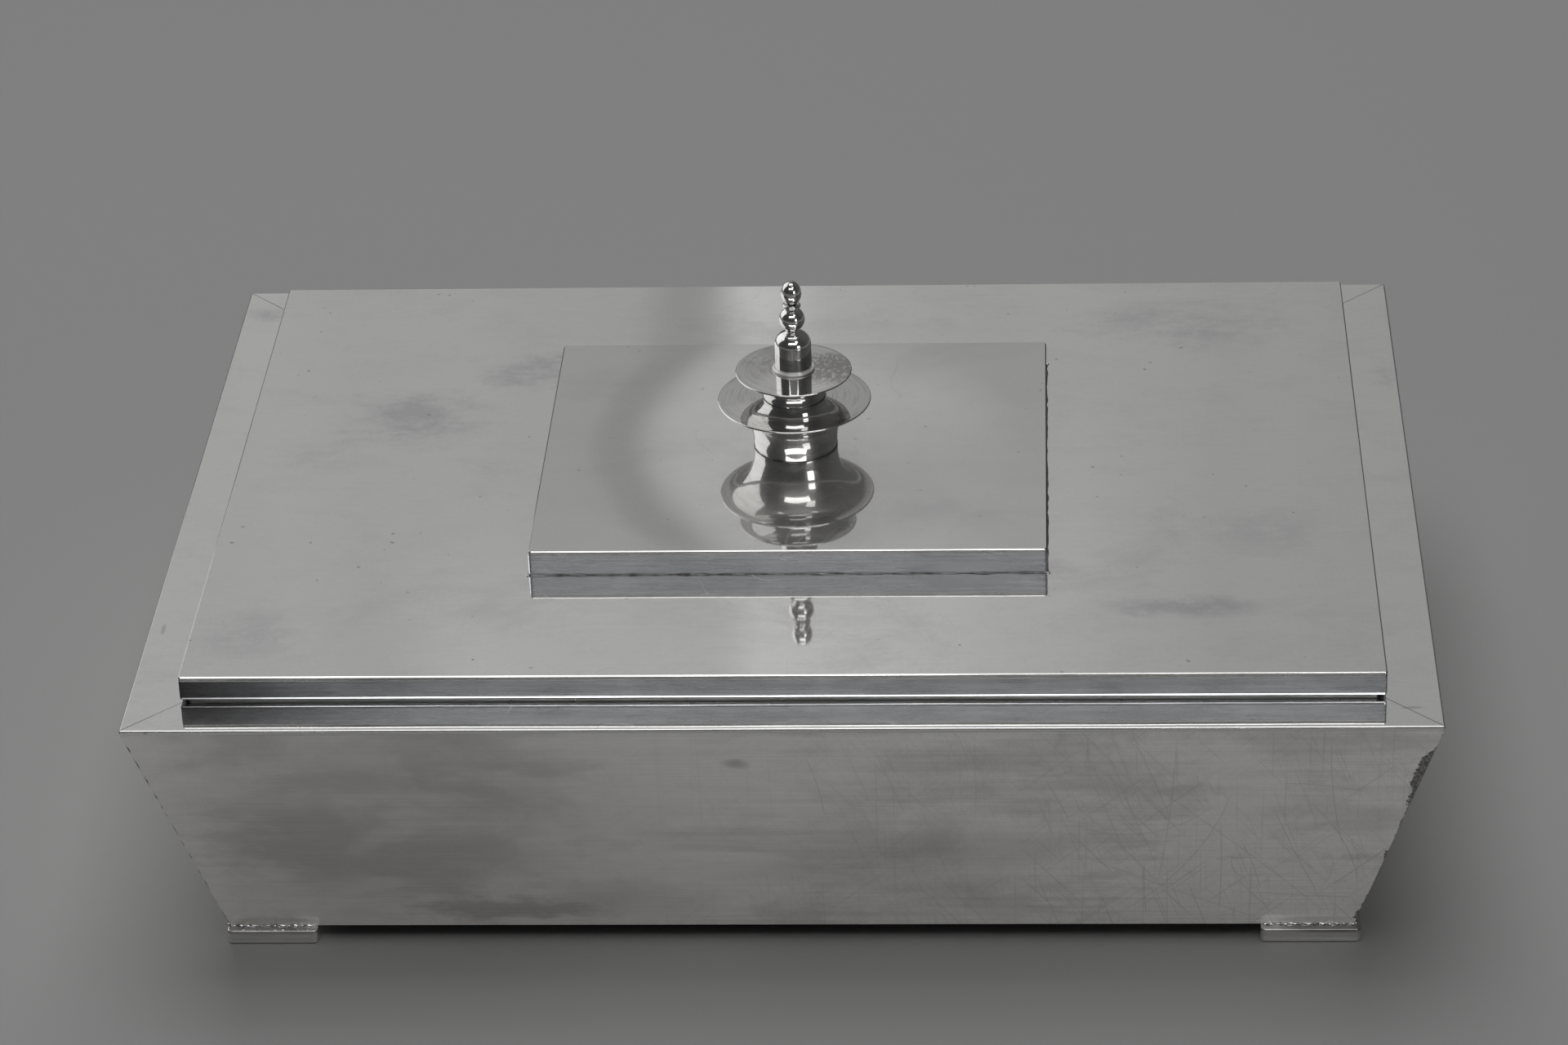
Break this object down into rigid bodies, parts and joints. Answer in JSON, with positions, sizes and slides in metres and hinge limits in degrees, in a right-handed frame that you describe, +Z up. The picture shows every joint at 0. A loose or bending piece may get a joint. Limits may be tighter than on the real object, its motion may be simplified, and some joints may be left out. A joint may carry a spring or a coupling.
{
  "type": "lidded silver box",
  "caption": "Shallow rectangular silver box with inward-sloping sides, block feet, a flat rim and a stepped lift-off lid with a turned finial.",
  "frame": {"origin": "on the ground under the middle of the box, in the plane of the feet's undersides", "axes": "+X along the length to the right, +Y from the front to the back, +Z up along the finial"},
  "size_m": [0.2998, 0.2258, 0.1249],
  "materials": {
    "polished_silver": "hand-polished silver sheet with faint brushing and light tarnish",
    "satin_silver": "silver sheet brushed lengthwise, with fine scratches",
    "inner_silver": "dull silver of the inside faces",
    "turned_silver": "turned and polished silver",
    "fixing_steel": "plain steel fixings under the lid"
  },
  "bodies": {
    "case": {"wall_front": "satin_silver", "wall_right": "satin_silver", "wall_back": "satin_silver", "wall_left": "satin_silver", "base_sheet": "inner_silver", "foot_front_left": "turned_silver", "foot_front_right": "turned_silver", "foot_back_left": "turned_silver", "foot_back_right": "turned_silver", "rim_front": "polished_silver", "rim_right": "polished_silver", "rim_back": "polished_silver", "rim_left": "polished_silver", "collar_front": "inner_silver", "collar_right": "inner_silver", "collar_back": "inner_silver", "collar_left": "inner_silver"},
    "lid": {"lid_top": "polished_silver", "lid_wall_front": "satin_silver", "lid_wall_right": "satin_silver", "lid_wall_back": "satin_silver", "lid_wall_left": "satin_silver", "step_top": "polished_silver", "step_wall_front": "satin_silver", "step_wall_right": "satin_silver", "step_wall_back": "satin_silver", "step_wall_left": "satin_silver", "finial_lower_saucer": "turned_silver", "finial_upper_saucer": "turned_silver", "finial_post_ring": "turned_silver", "finial_post": "turned_silver", "finial_bead": "turned_silver", "finial_tip_ring": "turned_silver", "finial_tip": "turned_silver", "finial_rod": "fixing_steel", "finial_pin": "fixing_steel", "finial_washer": "fixing_steel", "finial_nut": "fixing_steel"}
  },
  "joints": [
    {"name": "lid_lift", "type": "slide", "parent": "case", "child": "lid", "axis": [0, 0, 1], "range_m": [0, 0.08]}
  ]
}
